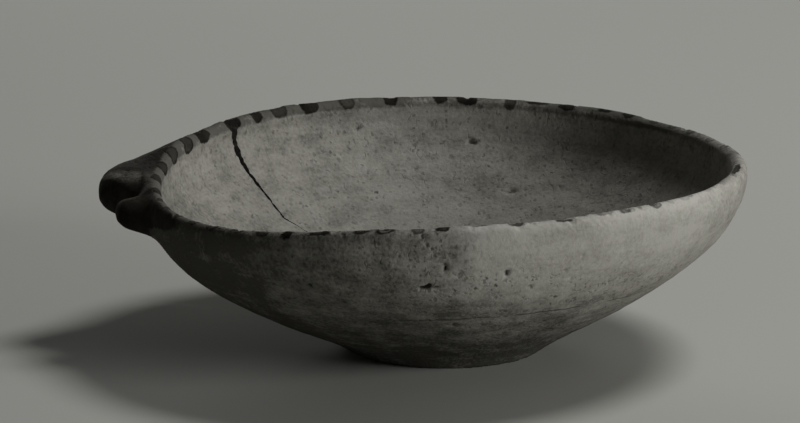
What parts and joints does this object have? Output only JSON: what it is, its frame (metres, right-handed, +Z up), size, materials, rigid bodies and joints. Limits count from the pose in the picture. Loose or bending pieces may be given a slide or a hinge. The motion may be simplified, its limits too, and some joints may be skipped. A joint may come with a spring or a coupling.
{
  "type": "painted bowl",
  "caption": "Wide shallow hand-built pottery bowl with an incurved lip, dark painted dabs along the rim and a lug of paired horns at one side.",
  "frame": {"origin": "middle of the flat face that the bowl rests on", "axes": "+Z up, out of the bowl's mouth; -X toward the lug; -Y toward the side that the picture was taken from"},
  "size_m": [0.2157, 0.2, 0.0647],
  "materials": {
    "fired_clay": "matt pale slip over fired clay, worn and pitted",
    "painted_clay": "matt dark brown paint over slip, rubbed on the ridges"
  },
  "bodies": {
    "root": {"base_pad": "fired_clay", "lower_course": "fired_clay", "upper_course": "fired_clay", "rim_coil": "fired_clay", "lug_horn_back": "painted_clay", "lug_horn_front": "painted_clay"}
  },
  "joints": []
}
